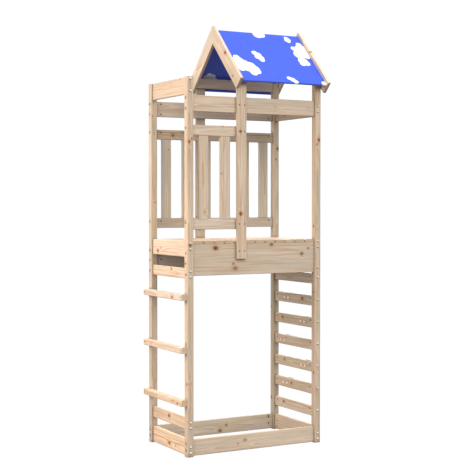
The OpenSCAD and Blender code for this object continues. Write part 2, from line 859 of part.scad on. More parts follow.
hem_steps = 16;
hem_angles = [for (i = [0:hem_steps]) hem_turn * i / hem_steps];
hem_flap = (hem_bore_r * (1 - cos(hem_turn)) - cover_gap) / -sin(hem_turn);

// Half of the outline, from the ridge's top round the hem and back to the ridge's underside
cover_half = concat(
    [for (a = hem_angles) hem_point(hem_r, a, 0)],
    [hem_point(hem_r, hem_turn, hem_flap), hem_point(hem_bore_r, hem_turn, hem_flap)],
    backwards([for (a = hem_angles) hem_point(hem_bore_r, a, 0)])
);

module cover_outline() {
    polygon(concat(
        [[mid_y, cover_ridge_z]],
        cover_half,
        [[mid_y, cover_under_z]],
        backwards([for (p = cover_half) flipped(p)])
    ));
}

module roof_cover() {
    color("royalblue")
        placed()
            translate([upright_x + cover_gap, 0, 0])
                rotate([90, 0, 90])
                    linear_extrude(frame_w - upright_x - 2 * cover_gap)
                        cover_outline();
}

module frame_bolts() {
    steel()
        for (b = all_bolts)
            bolt(b);
}

module barrel_nuts() {
    steel()
        for (b = all_bolts)
            barrel_nut(b);
}

module wood_screws() {
    steel()
        for (s = all_screws)
            screw(s);
}

post_front_left();
post_back_left();
post_front_right();
post_back_right();
left_top_rail();
left_deck_rail_upper();
left_deck_rail_lower();
for (i = [1:rung_count])
    ladder_rung(i);
left_base_rail_upper();
left_base_rail_lower();
right_top_rail();
right_deck_rail_upper();
right_deck_rail_lower();
right_base_board();
for (i = [1:climb_count])
    climbing_board(i);
front_top_rail();
front_panel_rail_upper();
front_panel_rail_lower();
for (i = [1:front_slat_count])
    front_slat(i);
front_deck_board();
front_base_board();
back_top_rail();
back_panel_rail_upper();
back_panel_rail_lower();
for (i = [1:back_slat_count])
    back_slat(i);
back_deck_board();
back_base_board();
deck_planks();
roof_upright_front();
roof_upright_back();
rafter_left_front();
rafter_left_back();
rafter_right_front();
rafter_right_back();
ridge_beam();
eave_beam_front();
eave_beam_back();
roof_cover();
hem_rods();
climbing_stones();
frame_bolts();
barrel_nuts();
wood_screws();
slat_dowels();
stone_bolts();
stone_nuts();
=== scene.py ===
import math
import zlib

import bmesh
import bpy
import numpy as np
from mathutils import Matrix, Vector


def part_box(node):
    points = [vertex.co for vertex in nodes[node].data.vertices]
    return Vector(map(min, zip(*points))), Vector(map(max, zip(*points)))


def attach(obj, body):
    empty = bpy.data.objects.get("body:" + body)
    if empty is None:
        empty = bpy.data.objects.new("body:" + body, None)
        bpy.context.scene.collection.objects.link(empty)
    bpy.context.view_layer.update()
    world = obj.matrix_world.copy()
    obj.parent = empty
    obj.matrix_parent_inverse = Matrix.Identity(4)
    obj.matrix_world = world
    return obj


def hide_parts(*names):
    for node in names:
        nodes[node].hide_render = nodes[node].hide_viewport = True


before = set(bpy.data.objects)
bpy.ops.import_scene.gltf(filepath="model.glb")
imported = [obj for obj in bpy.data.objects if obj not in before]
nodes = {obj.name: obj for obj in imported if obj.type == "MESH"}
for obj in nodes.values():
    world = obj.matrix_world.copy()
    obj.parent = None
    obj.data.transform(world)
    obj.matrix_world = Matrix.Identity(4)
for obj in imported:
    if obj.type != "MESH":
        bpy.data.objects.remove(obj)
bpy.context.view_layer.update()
print("tower loaded:", len(nodes), "nodes")


# sRGB hex to the linear colour that the shaders take
def hexColor(text):
    parts = [int(text[i:i + 2], 16) / 255 for i in (1, 3, 5)]
    return tuple(c / 12.92 if c <= 0.04045 else ((c + 0.055) / 1.055) ** 2.4 for c in parts) + (1.0,)


# fills a node's inputs, by name or number, each with a value, a hex colour, a socket,
# or a node whose first output in use is meant
def fillInputs(tree, node, inputs):
    for key, value in inputs.items():
        if isinstance(value, bpy.types.Node):
            value = next(output for output in value.outputs if output.enabled)
        if isinstance(value, bpy.types.NodeSocket):
            tree.links.new(value, node.inputs[key])
        else:
            node.inputs[key].default_value = hexColor(value) if isinstance(value, str) else value


# adds one node with its settings and inputs; a colour Mix has its factor at 0 and its colours at 6 and 7,
# a MapRange its value at 0, the range it comes in at 1 and 2, and the range it leaves in at 3 and 4
def addNode(tree, kind, inputs=None, **settings):
    node = tree.nodes.new("ShaderNode" + kind)
    for key, value in settings.items():
        setattr(node, key, value)
    fillInputs(tree, node, inputs or {})
    return node


# a new material with its tree and its Principled shader
def newFinish(name):
    material = bpy.data.materials.new(name)
    material.use_nodes = True
    return material, material.node_tree, material.node_tree.nodes["Principled BSDF"]


# puts a material on a carried-over node
def dress(name, material):
    thing = nodes[name]
    if not thing.material_slots:
        thing.data.materials.append(material)
    for slot in thing.material_slots:
        slot.material = material


# camera at the photograph's place, in the tower's frame
viewPoint = {
    "eye": (-3.3365, -6.0763, 1.4387), "yaw": 0.5006, "pitch": -0.0251,   # metres and radians
    "lens": 89.23, "sensor": 36.0,                                        # mm
    "farthest": 60.0,
}
yaw, pitch = viewPoint["yaw"], viewPoint["pitch"]
forward = Vector((math.sin(yaw) * math.cos(pitch), math.cos(yaw) * math.cos(pitch), math.sin(pitch)))
right = Vector((math.cos(yaw), -math.sin(yaw), 0))
turned = Matrix((right, right.cross(forward), -forward)).transposed().to_4x4()
camera = bpy.data.objects.new("camera", bpy.data.cameras.new("camera"))
camera.data.lens = viewPoint["lens"]
camera.data.sensor_width = viewPoint["sensor"]
camera.data.clip_end = viewPoint["farthest"]
camera.matrix_world = Matrix.Translation(viewPoint["eye"]) @ turned
bpy.context.collection.objects.link(camera)
bpy.context.scene.camera = camera
print("camera set")


# planed pine: pale spring wood, darker summer wood in rings about a pith outside the board, reddish knots that the
# rings bend round, smoky clouds and amber streaks along the grain; matt with a faint gloss on the summer wood
pine = {
    "early": "#e6d2b8", "late": "#c7a07c", "smoky": "#cdbfa9", "amber": "#dcae82", "resin": "#a65a2e",
    "endGrain": "#d3b795", "halo": "#d0a277", "knot": "#905b3d", "knotHeart": "#583320", "knotRim": "#694129",
    "ringGap": 5.0,                 # mm between rings
    "pith": (18, 70),               # mm that the pith lies outside the board, least and most
    "lean": (0.006, 0.022),         # how fast the rings slant along the board, least and most
    "stray": 16.0,                  # mm that a ring wanders along a board
    "bend": 9.0, "bendFade": 0.22,  # mm that a ring swerves at a knot, and how fast that fades away from it
    "summer": 2.2,                  # power by which a ring darkens to its end
    "summerShare": (0.4, 0.9),      # how dark a ring ends, least and most
    # noises drawn out along the grain: mm along, mm across, detail
    "noises": {"drift": (420, 75, 2.0), "smoke": (260, 45, 1.0), "streak": (420, 11, 2.0)},
    "fibre": (80.0, 1.6),           # mm, length and width of a fibre streak; real ones are finer and would not show
    "smokyShare": 0.55, "amberShare": 0.6, "endShare": 0.6,
    "knotSquash": 0.78,             # a knot's width over its length
    "knotLump": 9.0,                # mm between the bumps of a knot's outline
    "edge": 5.0,                    # mm of worn long edge
    "corner": 22.0,                 # mm that the painted corner shade reaches out of a corner between boards
    "cornerShade": 0.55, "underShade": 0.6, "edgeShade": 0.05,      # painted shade in corners and on undersides; worn edges
    "bandShade": (1.06, 0.91), "fibreShade": (0.93, 1.05),
    "tintSpread": (0.95, 1.04), "depthSpread": (0.94, 1.06),        # light and colour, from board to board
    "shadeHue": 0.511,               # hue of the boards given a greener painted shade tint, 0.5 for all others
    "rough": 0.66, "lateGloss": 0.14, "edgeGloss": 0.08,
    "relief": 0.0005,               # m, height of the grain
    "plankGap": 6.0,                # mm between two deck planks
    "plankJump": (2600, 20, 60),    # mm along, across and through the log from plank to plank, at most
}

# dark resin lines along a board: mm off its middle, width in mm, how strong
resinLines = {
    "left_base_rail_lower": (-3.0, 3.2, 0.8), "back_panel_rail_upper": (15.0, 3.4, 0.7),
    "left_deck_rail_upper": (-24.0, 2.4, 0.45), "front_top_rail": (-14.0, 2.6, 0.3),
}

# knots that the photograph shows: place on the board's face in metres, radius in mm, and how dark a faint one is;
# an empty row is a board without knots, and a board without a row gets a few at random
knotPlaces = {
    "front_deck_board": [((-0.260, -0.252, 1.184), 12), ((0.111, -0.252, 1.199), 9, 0.75),
                         ((0.320, -0.252, 1.141), 9, 0.75), ((0.366, -0.252, 1.173), 6, 0.6),
                         ((-0.132, -0.252, 1.066), 12, 0.6), ((-0.145, -0.252, 1.092), 7, 0.4)],
    "front_top_rail": [((0.136, -0.252, 2.004), 10, 0.12), ((0.365, -0.252, 2.010), 9, 0.12)],
    "front_panel_rail_upper": [((-0.386, -0.253, 1.815), 6), ((-0.215, -0.253, 1.882), 5)],
    "front_slat_1": [((-0.328, -0.252, 1.391), 6, 0.3), ((-0.301, -0.252, 1.714), 5, 0.45)],
    "front_base_board": [((-0.067, -0.253, 0.063), 9, 0.5), ((-0.114, -0.253, 0.044), 6, 0.35)],
    "post_front_left": [((-0.433, -0.263, 1.787), 7), ((-0.417, -0.263, 1.804), 5), ((-0.428, -0.263, 1.204), 8),
                        ((-0.446, -0.244, 1.343), 5), ((-0.446, -0.244, 0.642), 7), ((-0.446, -0.252, 0.416), 6)],
    "post_front_right": [((0.433, -0.263, 1.819), 8), ((0.420, -0.263, 1.792), 5), ((0.409, -0.246, 1.304), 6),
                         ((0.409, -0.245, 0.907), 5), ((0.409, -0.248, 0.423), 6)],
    "post_back_right": [((0.435, 0.224, 1.787), 8), ((0.424, 0.224, 1.720), 5), ((0.409, 0.248, 0.783), 5),
                        ((0.409, 0.249, 0.203), 7)],
    "roof_upright_front": [((-0.106, -0.271, 1.380), 9), ((-0.105, -0.271, 1.854), 7)],
    "rafter_left_front": [((-0.147, -0.156, 2.316), 9), ((-0.147, -0.246, 2.172), 6)],
    "rafter_right_front": [((0.456, -0.134, 2.358), 6, 0.7)],
    "rafter_left_back": [],
    "left_top_rail": [((-0.436, -0.038, 2.124), 9, 0.12), ((-0.436, -0.150, 2.149), 5, 0.5)],
    "left_deck_rail_upper": [((-0.436, 0.154, 1.160), 9), ((-0.436, 0.112, 1.176), 5)],
    "left_deck_rail_lower": [((-0.436, -0.031, 1.059), 7)],
    "left_base_rail_upper": [((-0.436, 0.003, 0.196), 9)],
    "left_base_rail_lower": [((-0.436, -0.001, 0.036), 9), ((-0.436, -0.084, 0.035), 4)],
    "ladder_rung_3": [((-0.482, -0.136, 0.903), 8)],
    "ladder_rung_1": [((-0.482, -0.204, 0.304), 6)],
    "back_top_rail": [],
    "back_panel_rail_upper": [((-0.296, 0.235, 1.850), 7)],
    "back_base_board": [((0.027, 0.234, 0.024), 9), ((0.071, 0.234, 0.055), 7), ((0.375, 0.234, 0.088), 6)],
    "climbing_board_1": [((0.419, 0.115, 0.193), 8)],
    "climbing_board_2": [((0.419, 0.022, 0.323), 7)],
    "climbing_board_3": [((0.419, 0.106, 0.461), 7)],
    "climbing_board_5": [((0.419, 0.129, 0.726), 8), ((0.419, -0.197, 0.738), 5)],
    "climbing_board_6": [((0.419, -0.103, 0.858), 9)],
}

# how light and how full in colour a board is, by the start of its name; the first that fits is taken; the low values of
# the back boards, back posts, back upright and right top rail are painted shade, the rest is the board's own tone
boardToneAndShade = {
    "back_panel_rail_upper": (0.8, 0.95), "back_panel_rail_lower": (0.76, 0.66),
    "back_slat_5": (0.72, 0.66), "back_slat_3": (0.79, 0.66),
    "back_base": (1.01, 0.8), "back_deck": (1.05, 0.56), "back_top": (0.85, 0.7), "back_": (0.83, 0.67),
    "roof_upright_back": (0.83, 0.7), "roof_upright_front": (1.08, 0.98), "eave_beam_back": (1.06, 0.68),
    "post_back_right": (0.84, 0.9), "post_back": (0.93, 0.92), "post_front_left": (0.98, 0.97),
    "right_top": (0.64, 0.88), "right_base": (1.07, 0.96),
    "climbing_board_7": (1.25, 0.74), "climbing_board_6": (1.1, 0.88), "climbing_board_4": (0.98, 1.03),
    "climbing_board_2": (0.92, 1.14), "climbing_board_1": (1.05, 1.0),
    "left_base_rail_lower": (1.28, 1.12), "left_base": (1.19, 1.12),
    "left_deck_rail_upper": (1.08, 0.88), "left_": (1.04, 1.02),
    "ladder_rung_1": (1.07, 1.05), "ladder_rung_2": (1.15, 0.9), "ladder_": (1.08, 0.9),
    "rafter_left_back": (1.14, 0.8), "rafter_right_front": (1.22, 0.97), "rafter": (1.1, 0.97),
    "front_base": (1.1, 1.0), "front_top": (1.06, 0.98), "front_panel_rail_lower": (1.07, 0.9),
    "front_deck": (1.04, 0.99), "front_": (1.02, 0.98),
    "": (1.0, 1.0),
}
# boards at the back and the right get a greener hue as painted shade
shadeTintedBoards = ("back_", "post_back", "right_top", "right_deck", "eave_beam_back", "roof_upright_back",
                 "climbing_board_3", "climbing_board_5", "climbing_board_6", "climbing_board_7")

# directions along, across and through a board, by the way it runs
slant = 0.70710678    # a rafter falls at 45 degrees
boardAxes = {
    "x": ((1, 0, 0), (0, 0, 1), (0, -1, 0)),
    "y": ((0, 1, 0), (0, 0, 1), (1, 0, 0)),
    "z": ((0, 0, 1), (1, 0, 0), (0, 1, 0)),
    "flat": ((0, 1, 0), (1, 0, 0), (0, 0, -1)),
    "front": ((0, -slant, -slant), (0, slant, -slant), (1, 0, 0)),
    "back": ((0, slant, -slant), (0, slant, slant), (1, 0, 0)),
}


# which way a board runs: rafters and planks by name, others by their longest side
def boardRun(name):
    if name.startswith("rafter"):
        return name.rsplit("_", 1)[1]
    if name == "deck_planks":
        return "flat"
    low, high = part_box(name)
    return "xyz"[int(np.argmax(np.array(high - low)))]


# a board's directions, and its middle and half size along them in mm
def boardPlace(name):
    axes = np.array(boardAxes[boardRun(name)])
    mesh = nodes[name].data
    points = np.empty(len(mesh.vertices) * 3, np.float32)
    mesh.vertices.foreach_get("co", points)
    local = points.reshape(-1, 3) @ axes.T * 1000
    return axes, (local.max(0) + local.min(0)) / 2, (local.max(0) - local.min(0)) / 2


# a board's knots: place off its middle, radius, how dark; a bigger knot is darker, and at random there are about
# one for each 700 mm of length, clear of the ends and edges
def boardKnots(name, axes, middle, half, seed):
    if name in knotPlaces:
        return [((axes @ np.array(place)) * 1000 - middle, size, dark[0] if dark else min(1.0, 0.3 + size / 14))
                for place, size, *dark in knotPlaces[name]]
    count = seed.integers(0, 2 + int(half[0] / 350))
    return [(half * (seed.uniform(-0.92, 0.92), seed.uniform(-0.85, 0.85), 1),
             min(9.0, 3.6 + half[1] / 14) * seed.uniform(0.6, 1.0), seed.uniform(0.25, 0.7)) for _ in range(count)]


# place on planks side by side: across starts anew on each, and each comes from another stretch of the log
def plankPlace(tree, board, pitch, planks):
    sides = addNode(tree, "SeparateXYZ", {0: board})
    count = addNode(tree, "Math", {0: sides.outputs[1], 1: 1 / pitch, 2: planks / 2}, operation="MULTIPLY_ADD")
    inside = addNode(tree, "Math", {0: count}, operation="FRACT")
    across = addNode(tree, "Math", {0: inside, 1: pitch, 2: -pitch / 2}, operation="MULTIPLY_ADD")
    number = addNode(tree, "Math", {0: count}, operation="FLOOR")
    jump = addNode(tree, "TexWhiteNoise", {"W": number}, noise_dimensions="1D")
    own = addNode(tree, "CombineXYZ", {0: sides.outputs[0], 1: across, 2: sides.outputs[2]})
    return addNode(tree, "VectorMath", {0: jump.outputs["Color"], 1: pine["plankJump"], 2: own},
                   operation="MULTIPLY_ADD")


# near = distance to the nearest knot's heart over its radius, with a bumpy outline; show = how dark the knots here are
def knotField(tree, board, half, knots):
    near = show = None
    for knot, size, strong in knots:   # a branch runs straight in from the face that shows it
        inFace = half[1] > 1.5 * half[2] or abs(knot[1]) / half[1] <= abs(knot[2]) / half[2]
        squeeze = np.array([pine["knotSquash"], inFace, not inFace]) / size
        off = addNode(tree, "VectorMath", {0: board, 1: tuple(squeeze), 2: tuple(-knot * squeeze)},
                      operation="MULTIPLY_ADD")
        reach = addNode(tree, "VectorMath", {0: off}, operation="LENGTH")
        own = addNode(tree, "MapRange", {0: reach, 1: 3.4, 2: 2.6, 3: 0.0, 4: strong})
        near = addNode(tree, "Math", {0: near, 1: reach}, operation="MINIMUM") if near else reach
        show = addNode(tree, "Math", {0: show, 1: own}, operation="MAXIMUM") if show else own
    lumps = addNode(tree, "TexNoise", {"Vector": board, "Scale": 1 / pine["knotLump"], "Detail": 1.0})
    near = addNode(tree, "Math", {0: lumps, 1: 0.5, 2: near}, operation="MULTIPLY_ADD")
    return addNode(tree, "Math", {0: near, 1: 0.25}, operation="SUBTRACT"), show


# ring = (distance to the pith + lean * along + stray noise + swerve at knots) / gap;
# the summer wood is the end of each ring
def pineFinish(name, planks=0):
    seed = np.random.default_rng(zlib.crc32(name.encode()))
    axes, middle, half = boardPlace(name)
    knots = [] if planks else boardKnots(name, axes, middle, half, seed)
    lean = seed.uniform(*pine["lean"]) * seed.choice([-1, 1])
    pithAcross, pithOff = seed.uniform(-0.5, 0.5) * half[1], half[2] + seed.uniform(*pine["pith"])
    pithOff *= seed.choice([-1, 1])
    shift = tuple(seed.uniform(-900, 900, 3))

    material, tree, shader = newFinish("planedPine_" + name)
    place = addNode(tree, "TexCoord")
    board = addNode(tree, "Mapping", {"Vector": place.outputs["Object"], "Scale": (1000, 1000, 1000),
                                      "Rotation": Matrix(axes.tolist()).to_euler(), "Location": tuple(-middle)})
    halfWidth = half[1]
    if planks:
        pitch = (2 * half[1] + pine["plankGap"]) / planks
        halfWidth = (pitch - pine["plankGap"]) / 2
        board = plankPlace(tree, board, pitch, planks)
    along = addNode(tree, "SeparateXYZ", {0: board})

    grain = {}
    for kind, (length, width, detail) in pine["noises"].items():
        drawn = addNode(tree, "VectorMath", {0: board, 1: (1 / length, 1 / width, 1 / width), 2: shift},
                        operation="MULTIPLY_ADD")
        grain[kind] = addNode(tree, "TexNoise", {"Vector": drawn, "Scale": 1.0, "Detail": detail})
    length, width = pine["fibre"]
    thin = addNode(tree, "VectorMath", {0: board, 1: (1 / length, 1 / width, 1 / width)}, operation="MULTIPLY")
    fibre = addNode(tree, "TexNoise", {"Vector": thin, "Scale": 1.0, "Detail": 2.0})

    away = addNode(tree, "VectorMath", {0: board, 1: (0, 1, 1), 2: (0, -pithAcross, -pithOff)},
                   operation="MULTIPLY_ADD")
    radius = addNode(tree, "VectorMath", {0: away}, operation="LENGTH")
    rings = addNode(tree, "Math", {0: along.outputs[0], 1: lean, 2: radius}, operation="MULTIPLY_ADD")
    rings = addNode(tree, "Math", {0: grain["drift"], 1: pine["stray"], 2: rings}, operation="MULTIPLY_ADD")
    if knots:
        near, show = knotField(tree, board, half, knots)
        square = addNode(tree, "Math", {0: near, 1: near}, operation="MULTIPLY")
        fade = addNode(tree, "Math", {0: square, 1: -pine["bendFade"]}, operation="MULTIPLY")
        swerve = addNode(tree, "Math", {0: fade}, operation="EXPONENT")
        rings = addNode(tree, "Math", {0: swerve, 1: pine["bend"], 2: rings}, operation="MULTIPLY_ADD")
    turns = addNode(tree, "Math", {0: rings, 1: 1 / pine["ringGap"]}, operation="MULTIPLY")
    phase = addNode(tree, "Math", {0: turns}, operation="FRACT")
    rise = addNode(tree, "Math", {0: phase, 1: pine["summer"]}, operation="POWER")
    year = addNode(tree, "Math", {0: turns}, operation="FLOOR")
    vary = addNode(tree, "TexWhiteNoise", {"W": year}, noise_dimensions="1D")
    weight = addNode(tree, "MapRange", {0: vary, 3: pine["summerShare"][0], 4: pine["summerShare"][1]})
    late = addNode(tree, "Math", {0: rise, 1: weight}, operation="MULTIPLY")

    # colours laid on the spring wood one after another, each with the share that shows
    haze = addNode(tree, "MapRange", {0: grain["smoke"], 1: 0.42, 2: 0.72, 3: 0.0, 4: pine["smokyShare"]},
                   interpolation_type="SMOOTHSTEP")
    honey = addNode(tree, "MapRange", {0: grain["streak"], 1: 0.52, 2: 0.74, 3: 0.0, 4: pine["amberShare"]},
                    interpolation_type="SMOOTHSTEP")
    coats = [(late, pine["late"]), (haze, pine["smoky"]), (honey, pine["amber"])]
    if knots:
        heart = addNode(tree, "MapRange", {0: near, 1: 0.0, 2: 0.8}, interpolation_type="SMOOTHSTEP")
        flesh = addNode(tree, "Mix", {0: heart, 6: pine["knotHeart"], 7: pine["knot"]}, data_type="RGBA")
        rim = addNode(tree, "Math", {0: near, 1: 0.95}, operation="SUBTRACT")
        rim = addNode(tree, "Math", {0: rim}, operation="ABSOLUTE")
        for field, start, full, most, color in ((near, 2.6, 0.9, 0.75, pine["halo"]), (near, 1.15, 0.7, 1.0, flesh),
                                                (rim, 0.2, 0.02, 0.6, pine["knotRim"])):
            share = addNode(tree, "MapRange", {0: field, 1: start, 2: full, 3: 0.0, 4: most},
                            interpolation_type="SMOOTHSTEP")
            coats.append((addNode(tree, "Math", {0: share, 1: show}, operation="MULTIPLY"), color))
    if name in resinLines:
        off, width, strong = resinLines[name]
        course = addNode(tree, "Math", {0: grain["drift"], 1: pine["stray"], 2: along.outputs[1]},
                         operation="MULTIPLY_ADD")
        course = addNode(tree, "Math", {0: course, 1: off + pine["stray"] / 2}, operation="SUBTRACT")
        if knots:
            course = addNode(tree, "Math", {0: swerve, 1: pine["bend"], 2: course}, operation="MULTIPLY_ADD")
        course = addNode(tree, "Math", {0: course}, operation="ABSOLUTE")
        vein = addNode(tree, "MapRange", {0: course, 1: width, 2: 0.3 * width, 3: 0.0, 4: strong},
                       interpolation_type="SMOOTHSTEP")
        coats.append((vein, pine["resin"]))
    facing = addNode(tree, "VectorMath", {0: place.outputs["Normal"], 1: tuple(axes[0])}, operation="DOT_PRODUCT")
    facing = addNode(tree, "Math", {0: facing}, operation="ABSOLUTE")
    sawn = addNode(tree, "MapRange", {0: facing, 1: 0.75, 2: 0.92, 3: 0.0, 4: pine["endShare"]},
                   interpolation_type="SMOOTHSTEP")
    coats.append((sawn, pine["endGrain"]))
    wood = pine["early"]
    for share, color in coats:
        wood = addNode(tree, "Mix", {0: share, 6: wood, 7: color}, data_type="RGBA")

    # on a board's side the distance to the nearest long edge is what is left across plus what is left through
    sides = addNode(tree, "VectorMath", {0: board}, operation="ABSOLUTE")
    edge = addNode(tree, "VectorMath", {0: sides, 1: (0, 1, 1)}, operation="DOT_PRODUCT")
    edgeAt = halfWidth + half[2]
    worn = addNode(tree, "MapRange", {0: edge, 1: edgeAt - pine["edge"], 2: edgeAt}, interpolation_type="SMOOTHSTEP")

    # the board's tone, with painted shade on the boards at the back and on the right top rail
    tone, depth = next(value for start, value in boardToneAndShade.items() if name.startswith(start))
    toneAndShade = tone * seed.uniform(*pine["tintSpread"])
    pale, dim = pine["bandShade"]
    light = addNode(tree, "MapRange", {0: grain["streak"], 1: 0.3, 2: 0.7, 3: pale * toneAndShade, 4: dim * toneAndShade})
    dim, pale = pine["fibreShade"]
    streaks = addNode(tree, "MapRange", {0: fibre, 1: 0.3, 2: 0.7, 3: dim, 4: pale})
    light = addNode(tree, "Math", {0: light, 1: streaks}, operation="MULTIPLY")
    light = addNode(tree, "Math", {0: worn, 1: -pine["edgeShade"], 2: light}, operation="MULTIPLY_ADD")
    undersideShade = addNode(tree, "SeparateXYZ", {0: place.outputs["Normal"]})
    undersideShade = addNode(tree, "MapRange", {0: undersideShade.outputs[2], 1: -0.3, 2: -0.65, 3: 1.0, 4: pine["underShade"]},
                    interpolation_type="SMOOTHSTEP")
    light = addNode(tree, "Math", {0: light, 1: undersideShade}, operation="MULTIPLY")   # painted shade: faces turned downwards are darker
    if not planks and not name.startswith("rafter"):   # painted corner shade, left off the deck planks and the rafters
        # ambient occlusion darkens the wood in corners and recesses: painted shade
        corner = addNode(tree, "AmbientOcclusion", {"Distance": pine["corner"] / 1000}, samples=6)
        paintedCornerShade = addNode(tree, "MapRange", {0: corner.outputs["AO"], 1: 0.5, 2: 0.92, 3: pine["cornerShade"], 4: 1.0})
        light = addNode(tree, "Math", {0: light, 1: paintedCornerShade}, operation="MULTIPLY")
    # painted shade: a greener hue on the shaded boards
    hue = pine["shadeHue"] if name.startswith(shadeTintedBoards) else 0.5
    depth *= seed.uniform(*pine["depthSpread"])
    wood = addNode(tree, "HueSaturation", {"Hue": hue, "Saturation": depth, "Value": light, "Color": wood})

    gloss = addNode(tree, "Math", {0: late, 1: -pine["lateGloss"], 2: pine["rough"]}, operation="MULTIPLY_ADD")
    gloss = addNode(tree, "Math", {0: worn, 1: -pine["edgeGloss"], 2: gloss}, operation="MULTIPLY_ADD")
    height = addNode(tree, "Math", {0: late, 1: 0.6, 2: fibre}, operation="MULTIPLY_ADD")
    bump = addNode(tree, "Bump", {"Strength": 0.25, "Distance": pine["relief"], "Height": height})
    fillInputs(tree, shader, {"Base Color": wood, "Roughness": gloss, "Normal": bump, "IOR": 1.47})
    return material


notTimber = ("frame_bolts", "barrel_nuts", "wood_screws", "stone_bolts", "stone_nuts", "hem_rods", "slat_dowels",
             "roof_cover", "climbing_stones")
timber = [name for name in nodes if name not in notTimber]
for name in timber:
    dress(name, pineFinish(name, planks=12 if name == "deck_planks" else 0))
print("pine on", len(timber), "boards")


# zinc-plated steel: a bright grey metal, a little clouded by the plating bath; the frame bolts have painted shade round
# the foot of each head and on its lower rim, and those on the sides all over; what holds the stones has none and is
# duller
zinc = {
    "bright": "#fdf3e6", "cloudy": "#e8dccb", "shadeColor": "#3a322a",
    "cloud": 4.0,                   # mm, size of a cloudy patch
    "front": 0.2626,                # m from the middle to the heads on the posts' front and back faces
    "crown": (0.9, 0.6),            # how squarely a head faces where the painted shade starts and where it is full
    "shadeShare": 0.85,                 # share of painted shade where it is full
    "sides": 0.62,                  # share of painted shade all over the heads on the left and right
    "boltRough": (0.36, 0.52), "nutRough": (0.6, 0.75),
}


# crown = how squarely the surface faces along its bolt, which runs along y on the front and back, else along x
def zincFinish(name, rough, shadeShare):
    material, tree, shader = newFinish(name)
    spot = addNode(tree, "TexCoord")
    patch = addNode(tree, "TexNoise", {"Vector": spot.outputs["Object"], "Scale": 1000 / zinc["cloud"], "Detail": 3.0})
    tone = addNode(tree, "Mix", {0: patch, 6: zinc["bright"], 7: zinc["cloudy"]}, data_type="RGBA")
    # painted shade: the rim and lower side of each head, and the whole head of a side bolt, are darkened
    if shadeShare:
        faces = addNode(tree, "VectorMath", {0: spot.outputs["Normal"]}, operation="ABSOLUTE")
        faces = addNode(tree, "SeparateXYZ", {0: faces})
        reach = addNode(tree, "VectorMath", {0: spot.outputs["Object"]}, operation="ABSOLUTE")
        reach = addNode(tree, "SeparateXYZ", {0: reach})
        runsY = addNode(tree, "Math", {0: reach.outputs[1], 1: zinc["front"]}, operation="GREATER_THAN")
        crown = addNode(tree, "MapRange", {0: runsY, 3: faces.outputs[0], 4: faces.outputs[1]})
        least = addNode(tree, "MapRange", {0: runsY, 3: zinc["sides"], 4: 0.0})
        start, full = zinc["crown"]
        boltShade = addNode(tree, "MapRange", {0: crown, 1: start, 2: full, 3: least, 4: shadeShare},
                        interpolation_type="SMOOTHSTEP")
        undersideShade = addNode(tree, "SeparateXYZ", {0: spot.outputs["Normal"]})
        undersideShade = addNode(tree, "MapRange", {0: undersideShade.outputs[2], 1: 0.0, 2: -0.35, 3: 0.0, 4: shadeShare},
                        interpolation_type="SMOOTHSTEP")
        boltShade = addNode(tree, "Math", {0: boltShade, 1: undersideShade}, operation="MAXIMUM")
        tone = addNode(tree, "Mix", {0: boltShade, 6: tone, 7: zinc["shadeColor"]}, data_type="RGBA")
    polish = addNode(tree, "MapRange", {0: patch, 1: 0.3, 2: 0.7, 3: rough[0], 4: rough[1]})
    fillInputs(tree, shader, {"Base Color": tone, "Roughness": polish, "Metallic": 1.0})
    return material


boltSteel = zincFinish("zincPlatedSteel", zinc["boltRough"], zinc["shadeShare"])
nutSteel = zincFinish("dullZincPlatedSteel", zinc["nutRough"], 0)
for name in ("frame_bolts", "hem_rods"):
    dress(name, boltSteel)
for name in ("stone_bolts", "stone_nuts"):
    dress(name, nutSteel)

# yellow-passivated steel of screws and barrel nuts: dull brassy ends, mottled from gold to brown, pale on the roof
yellowZinc = {
    "gold": "#7d673f", "brown": "#4c3a22", "upperPale": "#ead6b6",
    "mottle": 3.0,                  # mm
    "eaves": 2.12,                  # m, height above which they are paler
    "rough": (0.36, 0.5),
}
yellowSteel, tree, shader = newFinish("yellowZincSteel")
spot = addNode(tree, "TexCoord")
patch = addNode(tree, "TexNoise", {"Vector": spot.outputs["Object"], "Scale": 1000 / yellowZinc["mottle"],
                                   "Detail": 2.0})
tone = addNode(tree, "Mix", {0: patch, 6: yellowZinc["gold"], 7: yellowZinc["brown"]}, data_type="RGBA")
height = addNode(tree, "SeparateXYZ", {0: spot.outputs["Object"]})
aboveEaves = addNode(tree, "Math", {0: height.outputs[2], 1: yellowZinc["eaves"]}, operation="GREATER_THAN")
tone = addNode(tree, "Mix", {0: aboveEaves, 6: tone, 7: yellowZinc["upperPale"]}, data_type="RGBA")
polish = addNode(tree, "MapRange", {0: patch, 1: 0.3, 2: 0.7, 3: yellowZinc["rough"][0], 4: yellowZinc["rough"][1]})
fillInputs(tree, shader, {"Base Color": tone, "Roughness": polish, "Metallic": 1.0})
dress("wood_screws", yellowSteel)
# the barrel nuts get this dark finish too; its darkness on them is partly painted shade
dress("barrel_nuts", yellowSteel)

